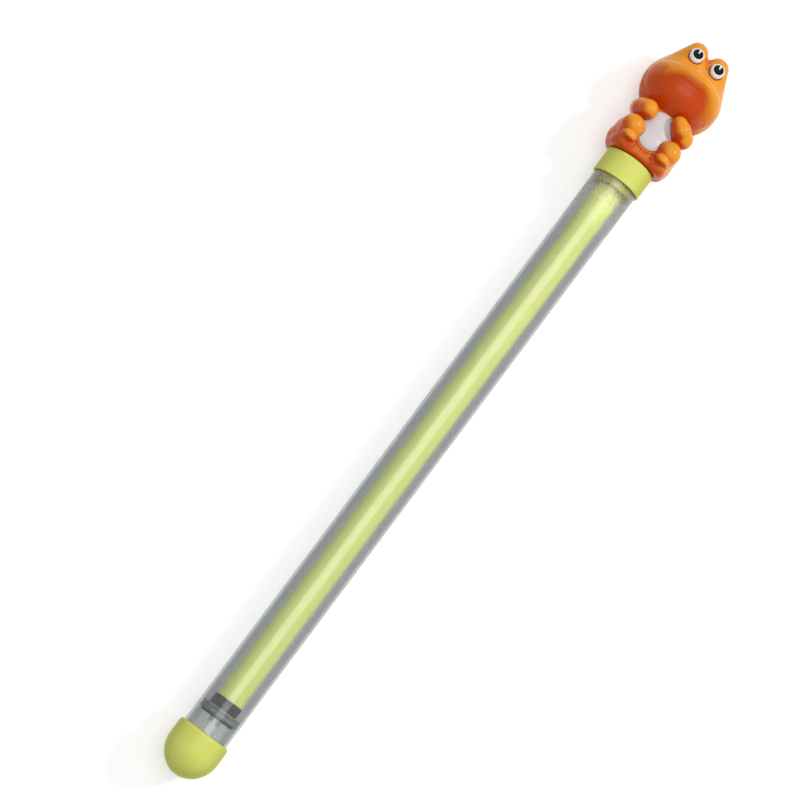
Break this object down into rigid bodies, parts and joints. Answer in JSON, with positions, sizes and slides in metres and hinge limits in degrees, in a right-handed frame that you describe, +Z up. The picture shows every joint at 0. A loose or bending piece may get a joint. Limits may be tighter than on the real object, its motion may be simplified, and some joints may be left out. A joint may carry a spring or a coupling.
{
  "type": "water squirter",
  "caption": "Piston water squirter: clear barrel with a domed jet cap and a collar, and a plunger rod whose pull handle is a seated frog.",
  "frame": {"origin": "under the middle of the part as it lies on its back, on the surface it lies on", "axes": "+X along the barrel from the jet to the frog handle, +Z up, the way the frog faces, +Y to the frog's right"},
  "size_m": [0.4562, 0.0442, 0.0374],
  "materials": {
    "clear_plastic": "clear, polished",
    "lime_plastic": "satin moulded",
    "rod_plastic": "satin extruded",
    "black_rubber": "smooth",
    "black_plastic": "moulded gloss",
    "screw_steel": "zinc plated",
    "orange_plastic": "moulded gloss",
    "white_plastic": "moulded gloss",
    "pupil_plastic": "gloss"
  },
  "bodies": {
    "barrel": {"barrel_tube": "clear_plastic", "nozzle_cap": "lime_plastic", "cap_gasket": "black_rubber", "collar": "lime_plastic", "rod_guide": "lime_plastic"},
    "seal": {"piston_seal": "black_rubber"},
    "plunger": {"plunger_rod": "rod_plastic", "piston_core": "black_plastic", "piston_retainer": "black_plastic", "piston_screw": "screw_steel", "rod_anchor": "white_plastic", "anchor_pin": "screw_steel", "frog_front_shell": "orange_plastic", "frog_back_shell": "orange_plastic", "belly_panel": "white_plastic", "left_eye": "white_plastic", "right_eye": "white_plastic", "left_pupil": "pupil_plastic", "right_pupil": "pupil_plastic", "shell_screws": "screw_steel"}
  },
  "joints": [
    {"name": "plunger_slide", "type": "slide", "parent": "barrel", "child": "seal", "axis": [1, 0, 0], "range_m": [0, 0.32]},
    {"name": "plunger_turn", "type": "hinge", "parent": "seal", "child": "plunger", "pos_m": [-0.19, 0, 0.017], "axis": [1, 0, 0], "continuous": true}
  ]
}
